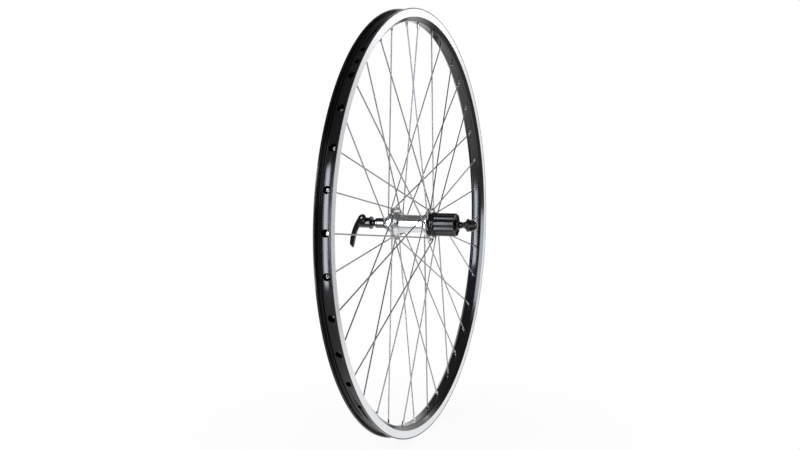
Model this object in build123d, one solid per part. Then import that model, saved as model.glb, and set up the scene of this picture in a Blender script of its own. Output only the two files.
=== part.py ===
from build123d import *
import os
from math import acos, cos, degrees, radians, sin, sqrt, tan

# Rear bicycle wheel for rim brakes: 36 spokes crossed three times, a freehub and a quick-release skewer.
# Sizes are in millimetres and degrees. The axle lies along Y. The origin is its centre, in the rim's plane.
# The lever side is +Y, the freehub side is -Y, the wheel rolls towards +X, and +Z is up.

# Rim
bead_seat_diameter = 622.0
rim_inner_width = 19.6
rim_flange_thickness = 2.1
rim_flange_height = 6.3
rim_height = 19.0
brake_track_height = 12.4
bead_shelf_width = 2.0
well_depth = 3.6
well_floor_width = 12.4
bridge_thickness = 1.2
rim_wall_thickness = 1.5
spoke_bed_width = 13.0
spoke_bed_thickness = 2.0
access_hole_width = 10.4
nipple_hole_width = 4.2
valve_hole_diameter = 8.5
valve_angle = 133.6

# Spokes and nipples
spokes_per_group = 9
spoke_crossings = 3
spoke_diameter = 2.0
spoke_head_diameter = 3.8
spoke_head_thickness = 1.2
rim_hole_offset = 0.8
outside_elbow_standoff = 2.0
inside_elbow_standoff = 1.3
nipple_width = 3.2
nipple_length = 11.5
nipple_head_width = 5.0
nipple_head_height = 2.4

# Hub shell
left_flange_inset = 33.7
flange_diameter = 51.0
flange_thickness = 3.2
flange_root_diameter = 36.0
flange_root_length = 6.2
spoke_circle_diameter = 45.0
spoke_hole_diameter = 2.7
barrel_diameter = 27.2
left_boss_diameter = 31.6
left_boss_length = 7.6
shell_bore_diameter = 18.0

# Bearings
ball_diameter = 6.35
balls_per_side = 9
ball_gap = 0.3
left_bearing_inset = 26.5
race_clearance = 0.05
cup_wall = 0.8
cup_lip = 1.5
cone_diameter = 15.5
cone_nose_diameter = 11.5
cone_reach = 7.0
cap_height = 8.0
cap_nose_diameter = 19.2
cap_wall = 1.1
seal_thickness = 1.4
seal_depth = 0.3

# Freehub
freehub_end_inset = 4.5
freehub_gap = 0.6
freehub_length = 39.0
freehub_base_diameter = 37.2
freehub_base_length = 7.6
spline_count = 9
spline_crest_diameter = 34.6
spline_root_diameter = 32.0
spline_groove_width = 6.4
lockring_bore_diameter = 30.4
lockring_bore_depth = 4.0
carrier_diameter = 28.4
carrier_seat_depth = 5.0
carrier_end_margin = 2.5
bolt_hex = 10.8
bolt_head_diameter = 19.4
bolt_head_length = 5.0
bolt_thread_length = 7.0
bolt_thread_diameter = 17.6
ratchet_teeth = 24
ratchet_tip_diameter = 29.4
ratchet_root_diameter = 32.4
ratchet_length = 5.6
ratchet_slope = 10.0
pawl_length = 5.0
pawl_pivot_radius = 12.4
pawl_heel_radius = 1.2
pawl_tip_radius = 15.6
pawl_tip_angle = 22.0
pawl_tip_thickness = 1.6
pawl_pocket_depth = 3.7
pawl_pocket_span = 43.0

# Axle, locknuts and skewer
axle_diameter = 10.0
axle_bore = 5.8
over_locknut_width = 135.0
axle_overhang = 5.0
locknut_length = 5.0
locknut_diameter = 16.6
locknut_flats = 15.0
rod_diameter = 5.0
rod_end_length = 13.6
lever_turn = 38.0
lever_pivot_reach = 12.1
cam_throw = 2.0
cam_shaft_diameter = 8.0
cam_neck_diameter = 5.6
cam_journal_length = 3.2
cam_button_diameter = 4.8
cam_button_height = 0.5
eye_thickness = 4.4
eye_wall = 1.7
housing_diameter = 16.0
housing_length = 19.7
housing_end_chamfer = 1.4
clamp_gap = 1.4
clamp_washer_thickness = 2.5
clamp_washer_diameter = 19.5
clamp_washer_bore = 10.8
lever_reach = 52.0
lever_bow = 9.8
lever_tip_set = 3.4
lever_thickness = 7.2
lever_tip_thickness = 6.2
lever_width = 6.2
lever_boss_diameter = 12.4
nut_gap = 7.3
nut_length = 16.0
nut_base_diameter = 19.5
nut_base_thickness = 2.2
nut_body_diameter = 18.0
nut_shoulder_length = 6.6
nut_nose_diameter = 7.0
nut_flute_diameter = 13.0
nut_flute_depth = 3.4
nut_flutes = 3
spring_wire = 0.8
spring_small_diameter = 7.6
spring_large_diameter = 13.0

# Clearances: pieces that run on each other, pieces that are fixed in each other, and bodies that pass by
running_clearance = 0.05
seat_clearance = 0.03
body_clearance = 0.4

# Worked-out sizes
rim_outer_radius = bead_seat_diameter / 2 + rim_flange_height
rim_inner_radius = rim_outer_radius - rim_height
track_inner_radius = rim_outer_radius - brake_track_height
rim_half_width = rim_inner_width / 2 + rim_flange_thickness
well_radius = bead_seat_diameter / 2 - well_depth
chamber_top_radius = well_radius - bridge_thickness
nipple_seat_radius = rim_inner_radius + spoke_bed_thickness
spoke_count = 4 * spokes_per_group
rim_hole_pitch = 360 / spoke_count
hub_hole_pitch = 360 / (2 * spokes_per_group)
spoke_sweep = spoke_crossings * hub_hole_pitch
flange_edge = flange_thickness / 2
locknut_face = over_locknut_width / 2
axle_end = locknut_face + axle_overhang
freehub_end = freehub_end_inset - locknut_face
freehub_start = freehub_end + freehub_length
left_flange_y = locknut_face - left_flange_inset
shell_left_end = left_flange_y + flange_edge + left_boss_length
shell_right_end = freehub_start + freehub_gap
right_flange_y = shell_right_end + flange_edge
left_bearing_y = locknut_face - left_bearing_inset
right_bearing_y = locknut_length + cone_reach - locknut_face
ball_circle_radius = (ball_diameter + ball_gap) / (2 * sin(radians(180 / balls_per_side)))
race_radius = ball_diameter / 2 + race_clearance
race_step = race_radius / sqrt(2)
race_wall_radius = ball_circle_radius + race_radius
cup_outer_radius = race_wall_radius + cup_wall
cone_radius = cone_diameter / 2
axle_radius = axle_diameter / 2
axle_seat_radius = axle_radius + seat_clearance
left_cone_end = left_bearing_y + cone_reach
carrier_radius = carrier_diameter / 2
carrier_start = shell_right_end + carrier_seat_depth - seat_clearance
carrier_end = right_bearing_y - ball_diameter / 2 - carrier_end_margin
freehub_bore_radius = carrier_radius + running_clearance
ratchet_start = freehub_start - (freehub_base_length - ratchet_length) / 2
clamp_washer_face_y = axle_end + clamp_gap
housing_start = clamp_washer_face_y + clamp_washer_thickness
housing_end_y = clamp_washer_face_y + housing_length
housing_radius = housing_diameter / 2
nut_face_y = -axle_end - nut_gap
nut_end_y = nut_face_y - nut_length
lever_pivot_y = clamp_washer_face_y + lever_pivot_reach
eye_y = lever_pivot_y + cam_throw / 2
eye_hole_radius = cam_neck_diameter / 2 + body_clearance
eye_radius = eye_hole_radius + eye_wall
cam_half_neck = eye_thickness / 2 + body_clearance
lever_face = housing_radius + body_clearance


def on_circle(radius, angle, y=0.0):
    """Point at a radius from the axle, at an angle from +X towards +Z."""
    return Vector(radius * cos(radians(angle)), y, radius * sin(radians(angle)))


def turned(*corners):
    """Solid turned about the axle from (radius, y) corners."""
    return revolve(make_face(Polyline(*corners, close=True)), Axis.Y)


def ring(inner_radius, outer_radius, start_y, end_y):
    corners = [(inner_radius, start_y), (outer_radius, start_y), (outer_radius, end_y), (inner_radius, end_y)]
    return turned(*corners)


def hex_section(start, end, width):
    """Hexagon of the given width across its flats, at start and square to the line to end."""
    return Plane(origin=start, z_dir=end - start) * RegularPolygon(width / 2, 6, major_radius=False)


def hex_bar(start, end, width):
    return extrude(hex_section(start, end, width), (end - start).length)


def square_bar(start, end, width):
    """Straight square bar between two points, with two of its sides square to the axle."""
    plane = Plane(origin=start, x_dir=(0, 1, 0), z_dir=end - start)
    return extrude(plane * Rectangle(width, width), (end - start).length)


def around(shape, count):
    """Copies of a shape spaced evenly around the axle."""
    return [Rot(0, 360 / count * step, 0) * shape for step in range(count)]


def outline_prism(points, start_y, length):
    """Prism along -Y from start_y, from points given as (radius, angle) about the axle."""
    corners = [on_circle(radius, angle, start_y) for radius, angle in points]
    return extrude(make_face(Polyline(*corners, close=True)), length, dir=(0, -1, 0))


class SpokeRoute:
    """One master spoke: its side, its direction of lacing, and the points that it runs through."""

    def __init__(self, index):
        self.side = -1 if index % 2 == 0 else 1
        self.leading = index % 4 < 2
        self.rim_angle = valve_angle + (index + 0.5) * rim_hole_pitch
        self.hub_angle = self.rim_angle + (spoke_sweep if self.leading else -spoke_sweep)
        flange_y = left_flange_y if self.side > 0 else right_flange_y
        shaft_side = self.side if self.leading else -self.side
        standoff = outside_elbow_standoff if self.leading else inside_elbow_standoff
        hole_radius = spoke_circle_diameter / 2
        self.elbow = on_circle(hole_radius, self.hub_angle, flange_y + shaft_side * (flange_edge + standoff))
        self.head_seat = on_circle(hole_radius, self.hub_angle, flange_y - shaft_side * flange_edge)
        self.head_top = self.head_seat - Vector(0, shaft_side * spoke_head_thickness, 0)
        self.rim_point = on_circle(nipple_seat_radius, self.rim_angle, self.side * rim_hole_offset)
        self.direction = (self.rim_point - self.elbow).normalized()
        lean = acos(self.direction.dot(on_circle(1, self.rim_angle)))
        lift = nipple_head_width / sqrt(2) * tan(lean) + seat_clearance
        self.nipple_seat = self.rim_point + self.direction * lift
        self.nipple_tip = self.nipple_seat - self.direction * (nipple_length - nipple_head_height)


routes = [SpokeRoute(index) for index in range(4)]


def make_rim():
    half = [
        (well_radius, well_floor_width / 2),
        (bead_seat_diameter / 2, rim_inner_width / 2 - bead_shelf_width),
        (bead_seat_diameter / 2, rim_inner_width / 2),
        (rim_outer_radius, rim_inner_width / 2),
        (rim_outer_radius, rim_half_width),
        (track_inner_radius, rim_half_width),
        (rim_inner_radius, spoke_bed_width / 2),
    ]
    outside = turned(*half, *[(radius, -y) for radius, y in reversed(half)])
    taper = (rim_half_width - spoke_bed_width / 2) / (track_inner_radius - rim_inner_radius)
    chamber_top = rim_half_width - rim_wall_thickness
    chamber_floor = spoke_bed_width / 2 + taper * spoke_bed_thickness - rim_wall_thickness
    chamber = turned(
        (chamber_top_radius, chamber_top),
        (chamber_top_radius, -chamber_top),
        (nipple_seat_radius, -chamber_floor),
        (nipple_seat_radius, chamber_floor),
    )
    holes = []
    for route in routes:
        outward = on_circle(1, route.rim_angle)
        in_bed = route.rim_point - route.direction * spoke_bed_thickness / 2
        in_bridge = route.rim_point + route.direction * (well_radius - nipple_seat_radius)
        below = outward * rim_height
        step = outward * nipple_head_height
        nipple_hole = square_bar(in_bed - below, in_bed + step, nipple_hole_width)
        access_hole = square_bar(in_bridge - step, in_bridge + below, access_hole_width)
        holes += around(nipple_hole, spokes_per_group) + around(access_hole, spokes_per_group)
    valve_direction = on_circle(1, valve_angle)
    valve_start = Plane(origin=valve_direction * (rim_inner_radius - rim_height), z_dir=valve_direction)
    holes.append(extrude(valve_start * Circle(valve_hole_diameter / 2), 2 * rim_height))
    return outside - chamber - holes


def make_spoke(route):
    wire_path = Polyline(route.nipple_tip, route.elbow, route.head_seat)
    section = hex_section(route.nipple_tip, route.elbow, spoke_diameter)
    wire = sweep(section, wire_path, transition=Transition.RIGHT)
    return wire + hex_bar(route.head_seat, route.head_top, spoke_head_diameter)


def make_nipple(route):
    head_end = route.nipple_seat + route.direction * nipple_head_height
    shank = square_bar(route.nipple_tip, head_end, nipple_width)
    return shank + square_bar(route.nipple_seat, head_end, nipple_head_width)


def make_hub_shell():
    flange_radius = flange_diameter / 2
    root_radius = flange_root_diameter / 2
    barrel_radius = barrel_diameter / 2
    bore_radius = shell_bore_diameter / 2
    cup_seat = cup_outer_radius + seat_clearance
    carrier_seat = carrier_radius + seat_clearance
    left_inner = left_flange_y - flange_edge
    right_inner = right_flange_y + flange_edge
    shell = turned(
        (cup_seat, shell_left_end),
        (left_boss_diameter / 2, shell_left_end),
        (left_boss_diameter / 2, left_flange_y + flange_edge),
        (flange_radius, left_flange_y + flange_edge),
        (flange_radius, left_inner),
        (root_radius, left_inner),
        (barrel_radius, left_inner - flange_root_length),
        (barrel_radius, right_inner + flange_root_length),
        (root_radius, right_inner),
        (flange_radius, right_inner),
        (flange_radius, shell_right_end),
        (carrier_seat, shell_right_end),
        (carrier_seat, shell_right_end + carrier_seat_depth),
        (bore_radius, shell_right_end + carrier_seat_depth),
        (bore_radius, cup_face_y() - seat_clearance),
        (cup_seat, cup_face_y() - seat_clearance),
    )
    holes = []
    for route in routes:
        beyond = (route.head_top - route.elbow).normalized() * flange_thickness
        holes += around(hex_bar(route.elbow, route.head_seat + beyond, spoke_hole_diameter), spokes_per_group)
    return shell - holes


def race_y(bearing_y, inward, radius):
    """Place along the axle of a cup's 45 degree race, at a radius. Inward points to the hub's middle."""
    return bearing_y + inward * (2 * race_step - (radius - ball_circle_radius))


def cup_face_y():
    return race_y(left_bearing_y, -1, shell_bore_diameter / 2)


def make_left_cup():
    bore_radius = shell_bore_diameter / 2
    return turned(
        (bore_radius, cup_face_y()),
        (cup_outer_radius, cup_face_y()),
        (cup_outer_radius, left_bearing_y + cup_lip),
        (race_wall_radius, left_bearing_y + cup_lip),
        (race_wall_radius, race_y(left_bearing_y, -1, race_wall_radius)),
    )


def make_cone(bearing_y, outward):
    """Bearing cone with its 45 degree race. Outward is the sign away from the hub's middle."""
    def race(radius):
        return bearing_y + outward * (2 * race_step + radius - ball_circle_radius)

    nose_radius = cone_nose_diameter / 2
    end = bearing_y + outward * cone_reach
    return turned(
        (axle_seat_radius, race(nose_radius)),
        (nose_radius, race(nose_radius)),
        (cone_radius, race(cone_radius)),
        (cone_radius, end),
        (axle_seat_radius, end),
    )


def make_balls():
    """Both rows of balls, each drawn as twelve flat faces inside its true sphere."""
    width = ball_diameter / sqrt(2)
    length = 2 * ball_diameter
    along_x = Rot(45, 0, 0) * Box(length, width, width)
    along_y = Rot(0, 45, 0) * Box(width, length, width)
    along_z = Rot(0, 0, 45) * Box(width, width, length)
    ball = along_x & along_y & along_z
    rows = []
    for bearing_y in (left_bearing_y, right_bearing_y):
        rows += around(Pos(ball_circle_radius, bearing_y, 0) * ball, balls_per_side)
    return rows


def make_left_dust_cap():
    bore_radius = cone_radius + body_clearance
    start_radius = left_boss_diameter / 2 - cap_wall / 2
    return turned(
        (start_radius - 2 * cap_wall, shell_left_end),
        (start_radius, shell_left_end),
        (cap_nose_diameter / 2, shell_left_end + cap_height),
        (bore_radius, shell_left_end + cap_height),
        (bore_radius, shell_left_end + cap_height - cap_wall),
    )


def make_right_dust_cap():
    outer_end = carrier_end + seal_depth
    outer_radius = race_wall_radius - seat_clearance
    return ring(cone_radius + body_clearance, outer_radius, outer_end + seal_thickness, outer_end)


def pawl_points():
    """Pawl outline as (radius, angle): heel, back, tip face and belly."""
    tip_face_angle = degrees(pawl_tip_thickness / pawl_tip_radius)
    heel_angle = degrees(pawl_heel_radius / pawl_pivot_radius)
    return [
        (pawl_pivot_radius, -heel_angle),
        (pawl_pivot_radius + pawl_heel_radius, -heel_angle / 2),
        (pawl_pivot_radius + pawl_heel_radius, heel_angle / 2),
        (pawl_tip_radius, pawl_tip_angle),
        (pawl_tip_radius - pawl_tip_thickness, pawl_tip_angle + tip_face_angle),
        (pawl_pivot_radius - pawl_heel_radius / 2, heel_angle),
        (pawl_pivot_radius - pawl_heel_radius, 0),
    ]


def make_pawl(turn):
    pawl = outline_prism(pawl_points(), ratchet_start - (ratchet_length - pawl_length) / 2, pawl_length)
    return Rot(0, -turn, 0) * pawl


def make_freehub_carrier():
    """Hollow carrier in the hub shell: the freehub runs on it, and its end holds the right race."""
    bore_radius = bolt_thread_diameter / 2 + seat_clearance
    head_radius = bolt_head_diameter / 2 + seat_clearance
    head_seat = race_y(right_bearing_y, 1, head_radius) + bolt_head_length
    tube = turned(
        (bore_radius, carrier_start),
        (carrier_radius, carrier_start),
        (carrier_radius, carrier_end),
        (race_wall_radius, carrier_end),
        (race_wall_radius, race_y(right_bearing_y, 1, race_wall_radius)),
        (head_radius, race_y(right_bearing_y, 1, head_radius)),
        (head_radius, head_seat),
        (bore_radius, head_seat),
    )
    first = -degrees((pawl_heel_radius + body_clearance) / pawl_pivot_radius)
    last = first + pawl_pocket_span
    spread = 1 / cos(radians(pawl_pocket_span / 2))
    floor_radius = (carrier_radius - pawl_pocket_depth) * spread
    mouth_radius = (carrier_radius + body_clearance) * spread
    pocket_points = [(floor_radius, first), (mouth_radius, first), (mouth_radius, last), (floor_radius, last)]
    pocket = outline_prism(pocket_points, ratchet_start, ratchet_length)
    return tube - around(pocket, 2)


def make_carrier_bolt():
    head_radius = bolt_head_diameter / 2
    thread_radius = bolt_thread_diameter / 2
    head_seat = race_y(right_bearing_y, 1, head_radius + seat_clearance) + bolt_head_length
    thread_end = carrier_start + bolt_thread_length
    blank = turned(
        (0, head_seat - bolt_head_length),
        (head_radius, head_seat - bolt_head_length),
        (head_radius, head_seat - seat_clearance),
        (thread_radius, head_seat - seat_clearance),
        (thread_radius, thread_end),
        (0, thread_end),
    )
    return blank - hex_bar(Vector(0, head_seat - 2 * bolt_head_length, 0), Vector(0, thread_end, 0), bolt_hex)


def make_freehub_body():
    base_end = freehub_start - freehub_base_length
    crest_radius = spline_crest_diameter / 2
    root_radius = spline_root_diameter / 2
    body = turned(
        (freehub_bore_radius, freehub_start),
        (freehub_base_diameter / 2, freehub_start),
        (freehub_base_diameter / 2, base_end),
        (crest_radius, base_end),
        (crest_radius, freehub_end),
        (lockring_bore_diameter / 2, freehub_end),
        (lockring_bore_diameter / 2, freehub_end + lockring_bore_depth),
        (freehub_bore_radius, freehub_end + lockring_bore_depth),
    )
    groove_length = freehub_length - freehub_base_length
    groove = Box(crest_radius, groove_length, spline_groove_width, align=(Align.MIN, Align.MAX, Align.CENTER))
    pitch = 360 / ratchet_teeth
    tip_radius = ratchet_tip_diameter / 2
    tooth_root_radius = ratchet_root_diameter / 2
    flank_share = (tooth_root_radius - pawl_tip_radius) / (tooth_root_radius - tip_radius)
    contact_angle = pawl_tip_angle + degrees(body_clearance / pawl_tip_radius)
    root_angle = contact_angle - (pitch - ratchet_slope) * flank_share
    teeth = []
    for tooth in range(ratchet_teeth):
        teeth.append((tip_radius, root_angle - ratchet_slope + tooth * pitch))
        teeth.append((tooth_root_radius, root_angle + tooth * pitch))
    return body - around(Pos(root_radius, base_end, 0) * groove, spline_count) - outline_prism(
        teeth, ratchet_start, ratchet_length
    )


def make_axle():
    return ring(axle_bore / 2, axle_radius, -axle_end, axle_end)


def make_left_spacer():
    return ring(axle_seat_radius, cone_radius, left_cone_end, locknut_face - locknut_length)


def make_locknut(face_y, outward):
    nut = ring(axle_seat_radius, locknut_diameter / 2, face_y - outward * locknut_length, face_y)
    return nut & Box(locknut_diameter, over_locknut_width, locknut_flats)


def make_skewer_rod():
    """Rod with an eye at its lever end. The eye is long enough for the cam to swing inside it."""
    centre = Plane(origin=(0, eye_y, 0), x_dir=(0, 0, 1), z_dir=(1, 0, 0))
    eye = extrude(centre * SlotCenterToCenter(cam_throw, 2 * eye_radius), eye_thickness / 2, both=True)
    hole = extrude(centre * SlotCenterToCenter(cam_throw, 2 * eye_hole_radius), eye_thickness, both=True)
    rod = ring(0, rod_diameter / 2, nut_face_y - rod_end_length, eye_y - eye_hole_radius)
    return turn_skewer(rod + eye - hole)


def cross_pin(y, diameter, start_x, end_x):
    """Round pin across the skewer, parallel to X."""
    return extrude(Plane(origin=(start_x, y, 0), z_dir=(1, 0, 0)) * Circle(diameter / 2), end_x - start_x)


def make_cam_shaft():
    """Cross shaft with a set-off neck that pulls the rod, and a button that shows in the lever's boss."""
    button_end = -lever_face - lever_width - cam_button_height
    return turn_skewer(
        cross_pin(lever_pivot_y, cam_button_diameter, button_end, -lever_face)
        + cross_pin(lever_pivot_y, cam_shaft_diameter, -lever_face, -cam_half_neck)
        + cross_pin(eye_y, cam_neck_diameter, -cam_half_neck, cam_half_neck)
        + cross_pin(lever_pivot_y, cam_shaft_diameter, cam_half_neck, cam_half_neck + cam_journal_length)
    )


def turn_skewer(shape):
    """Turn a skewer piece to the angle at which the lever hangs."""
    return Rot(0, lever_turn, 0) * shape


def make_cam_housing():
    bore_radius = rod_diameter / 2 + body_clearance
    spigot_radius = clamp_washer_bore / 2 - seat_clearance
    blank = turned(
        (0, clamp_washer_face_y),
        (spigot_radius, clamp_washer_face_y),
        (spigot_radius, housing_start),
        (housing_radius, housing_start),
        (housing_radius, housing_end_y - housing_end_chamfer),
        (housing_radius - housing_end_chamfer, housing_end_y),
        (0, housing_end_y),
    )
    slot_start = eye_y - cam_throw - eye_radius - body_clearance
    slot_end = eye_y + eye_radius + body_clearance
    slot_height = cam_throw + 2 * (eye_radius + body_clearance)
    slot = Box(
        2 * cam_half_neck, slot_end - slot_start, slot_height, align=(Align.CENTER, Align.MIN, Align.CENTER)
    )
    rod_bore = ring(0, bore_radius, clamp_washer_face_y, lever_pivot_y)
    far_end = cam_half_neck + cam_journal_length + body_clearance
    cross_diameter = cam_shaft_diameter + 2 * running_clearance
    cross_bore = cross_pin(lever_pivot_y, cross_diameter, -housing_diameter, far_end)
    return turn_skewer(blank - rod_bore - Pos(0, slot_start, 0) * slot - cross_bore)


def make_clamp_washer():
    return ring(clamp_washer_bore / 2, clamp_washer_diameter / 2, clamp_washer_face_y, housing_start)


def make_lever():
    """Curved lever beside the housing: a round boss on the cam shaft and an arm that bows outward."""
    plane = Plane(origin=(-lever_face, lever_pivot_y, 0), x_dir=(0, 1, 0), z_dir=(-1, 0, 0))
    boss_radius = lever_boss_diameter / 2
    middle = lever_reach / 2
    tip = lever_reach - lever_tip_thickness / 2
    half_tip = lever_tip_thickness / 2
    belly = (lever_bow - lever_thickness, middle)
    outer = ThreePointArc((boss_radius, 0), (lever_bow, middle), (lever_tip_set + half_tip, tip))
    inner = ThreePointArc((lever_tip_set - half_tip, tip), belly, (0, boss_radius / 2))
    end = ThreePointArc(outer @ 1, (lever_tip_set, lever_reach), inner @ 0)
    arm = make_face([outer, end, inner, Line(inner @ 1, outer @ 0)])
    lever = extrude(plane * (arm + Circle(boss_radius)), lever_width)
    shaft_hole = extrude(plane * Circle(cam_button_diameter / 2 + seat_clearance), lever_width)
    return turn_skewer(lever - shaft_hole)


def make_adjusting_nut():
    base_end = nut_face_y - nut_base_thickness
    bore_radius = rod_diameter / 2 + running_clearance
    body_radius = nut_body_diameter / 2
    blank = turned(
        (bore_radius, nut_face_y),
        (nut_base_diameter / 2, nut_face_y),
        (nut_base_diameter / 2, base_end),
        (body_radius, base_end),
        (body_radius, base_end - nut_shoulder_length),
        (nut_nose_diameter / 2, nut_end_y),
        (bore_radius, nut_end_y),
    )
    flute_x = body_radius - nut_flute_depth + nut_flute_diameter / 2
    flute = Pos(flute_x, 0, 0) * ring(0, nut_flute_diameter / 2, base_end, nut_end_y)
    return turn_skewer(blank - around(flute, nut_flutes))


def make_spring(small_y, large_y):
    """Conical spring drawn as a thin sleeve along its coils."""
    small = spring_small_diameter / 2
    large = spring_large_diameter / 2
    return turned(
        (small - spring_wire, small_y),
        (small, small_y),
        (large, large_y),
        (large - spring_wire, large_y),
    )


left_spring_start = axle_end + body_clearance
right_spring_start = -left_spring_start
sub_parts = {
    "rim": make_rim(),
    "right_leading_spokes": around(make_spoke(routes[0]), spokes_per_group),
    "left_leading_spokes": around(make_spoke(routes[1]), spokes_per_group),
    "right_trailing_spokes": around(make_spoke(routes[2]), spokes_per_group),
    "left_trailing_spokes": around(make_spoke(routes[3]), spokes_per_group),
    "nipples": [nipple for route in routes for nipple in around(make_nipple(route), spokes_per_group)],
    "hub_shell": make_hub_shell(),
    "left_cup": make_left_cup(),
    "left_dust_cap": make_left_dust_cap(),
    "bearing_cones": [make_cone(left_bearing_y, 1), make_cone(right_bearing_y, -1)],
    "bearing_balls": make_balls(),
    "right_dust_cap": make_right_dust_cap(),
    "freehub_carrier": make_freehub_carrier(),
    "carrier_bolt": make_carrier_bolt(),
    "freehub_body": make_freehub_body(),
    "pawl_1": make_pawl(0),
    "pawl_2": make_pawl(180),
    "axle": make_axle(),
    "left_spacer": make_left_spacer(),
    "left_locknut": make_locknut(locknut_face, 1),
    "right_locknut": make_locknut(-locknut_face, -1),
    "skewer_rod": make_skewer_rod(),
    "cam_housing": make_cam_housing(),
    "clamp_washer": make_clamp_washer(),
    "cam_shaft": make_cam_shaft(),
    "lever": make_lever(),
    "adjusting_nut": make_adjusting_nut(),
    "left_spring": make_spring(left_spring_start, clamp_washer_face_y),
    "right_spring": make_spring(right_spring_start, nut_face_y),
}

os.makedirs("parts", exist_ok=True)
for name, shape in sub_parts.items():
    solids = Compound(children=[*shape]) if isinstance(shape, list) else shape
    export_step(solids, os.path.join("parts", name + ".step"))
    print(name, round(solids.volume), "mm3")
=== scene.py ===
# %% [markdown]
# # A rear bicycle wheel for rim brakes
# The wheel's solids were made as CAD and packed as a fixed frame. This lesson dresses them for a picture.
# The frame fixes every place and size, so a piece is modelled where it belongs, in millimetres from the
# wheel's centre, and nothing is moved afterwards. The axle lies along Y, the lever side is +Y, and the
# wheel's plane is XZ.

# %% Load the frame
from math import acos, atan2, cos, degrees, pi, radians, sin, sqrt, tan

import bmesh
import bpy
from mathutils import Matrix, Vector


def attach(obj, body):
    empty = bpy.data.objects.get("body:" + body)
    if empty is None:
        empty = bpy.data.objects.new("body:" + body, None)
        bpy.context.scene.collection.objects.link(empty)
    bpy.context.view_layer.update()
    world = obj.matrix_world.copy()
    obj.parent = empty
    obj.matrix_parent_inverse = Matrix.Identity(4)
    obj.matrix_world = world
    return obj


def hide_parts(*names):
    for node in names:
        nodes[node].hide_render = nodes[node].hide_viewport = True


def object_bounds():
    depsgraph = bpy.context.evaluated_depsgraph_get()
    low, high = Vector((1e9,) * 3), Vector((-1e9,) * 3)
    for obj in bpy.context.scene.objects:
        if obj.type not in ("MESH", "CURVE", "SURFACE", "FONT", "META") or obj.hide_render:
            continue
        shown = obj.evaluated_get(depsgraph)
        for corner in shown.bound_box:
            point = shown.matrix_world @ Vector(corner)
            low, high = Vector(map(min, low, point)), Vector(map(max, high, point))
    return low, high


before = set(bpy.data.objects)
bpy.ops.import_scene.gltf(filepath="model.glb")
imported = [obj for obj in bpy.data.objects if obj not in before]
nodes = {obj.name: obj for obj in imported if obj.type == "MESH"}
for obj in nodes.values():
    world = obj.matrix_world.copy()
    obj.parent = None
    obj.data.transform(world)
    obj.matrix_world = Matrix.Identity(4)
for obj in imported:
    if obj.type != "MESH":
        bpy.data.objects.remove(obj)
cad_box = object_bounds()

# %% [markdown]
# ## Turning, as on a lathe
# Most of a wheel is turned: rim, hub, cones, nuts and caps. In Blender that is an outline of a few vertices
# and one spin. Real edges are never razor sharp, so a corner may carry a rounding, made by a bevel of that
# vertex before the spin. This is cleaner than a bevel of the finished solid, because each corner gets its
# own radius.

# %% Outline and lathe
MM = 0.001
WELD_DISTANCE = 0.001 * MM
CORNER_SEGMENTS = 4
ALONG_AXLE = Matrix.Rotation(radians(-90), 4, "X")


def round_off(shape, geometry, size, segments, affect="EDGES"):
    """Bevel edges or vertices by a size in millimetres."""
    bmesh.ops.bevel(
        shape, geom=geometry, offset=size * MM, offset_type="OFFSET", segments=segments, profile=0.5,
        affect=affect, material=-1,
    )


def outline(corners, closed=True):
    """Wire of (across, along) or (across, along, rounding) corners in millimetres, drawn in the XZ plane."""
    line = bmesh.new()
    verts = [line.verts.new((corner[0] * MM, 0, corner[1] * MM)) for corner in corners]
    for start, end in zip(verts, verts[1:] + verts[:1] if closed else verts[1:]):
        line.edges.new((start, end))
    for vert, corner in zip(verts, corners):
        if len(corner) == 3:
            round_off(line, [vert], corner[2], CORNER_SEGMENTS, "VERTICES")
    return line


def join(shape, part, place=Matrix()):
    """Put a part into a larger bmesh, in its place."""
    bmesh.ops.transform(part, matrix=place, verts=part.verts)
    mesh = bpy.data.meshes.new("part")
    part.to_mesh(mesh)
    part.free()
    shape.from_mesh(mesh)
    bpy.data.meshes.remove(mesh)


def turn(shape, corners, steps=96, place=ALONG_AXLE, closed=True):
    """Spin an outline of (radius, height) corners about its own axis. Closed means a ring with a bore."""
    line = outline(corners, closed)
    bmesh.ops.spin(
        line, geom=line.verts[:] + line.edges[:], cent=(0, 0, 0), axis=(0, 0, 1), angle=2 * pi, steps=steps,
        use_merge=True, use_duplicate=False,
    )
    bmesh.ops.remove_doubles(line, verts=line.verts, dist=WELD_DISTANCE)
    bmesh.ops.recalc_face_normals(line, faces=line.faces)
    join(shape, line, place)


# %% [markdown]
# ## Metal finishes
# Metal looks real through its small faults: turning lines that run around the axle, cloudy wear in the
# gloss, and a slight waviness. One helper builds all three from Object coordinates. The lines come from a
# noise that knows only the radius and the place along the axle, so they form true circles on a turned
# piece. The clouds change the colour, and clouds and lines together change the roughness.

# %% Node and metal helpers
COAT_ROUGHNESS = 0.06
CLOUD_SCALE = 55.0
WEAR_LOW = 0.1
WEAR_HIGH = 0.45
LINE_DEPTH = 0.05 * MM


def node(tree, kind, operation=None, **inputs):
    """Add a shader node. An input is a value or another node's socket, by its name or as i0, i1 and so on."""
    made = tree.nodes.new("ShaderNode" + kind)
    if operation:
        made.operation = operation
    for key, value in inputs.items():
        socket = made.inputs[int(key[1:])] if key[1:].isdigit() else made.inputs[key.replace("_", " ")]
        if isinstance(value, bpy.types.NodeSocket):
            tree.links.new(value, socket)
        else:
            socket.default_value = value
    return made


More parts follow.
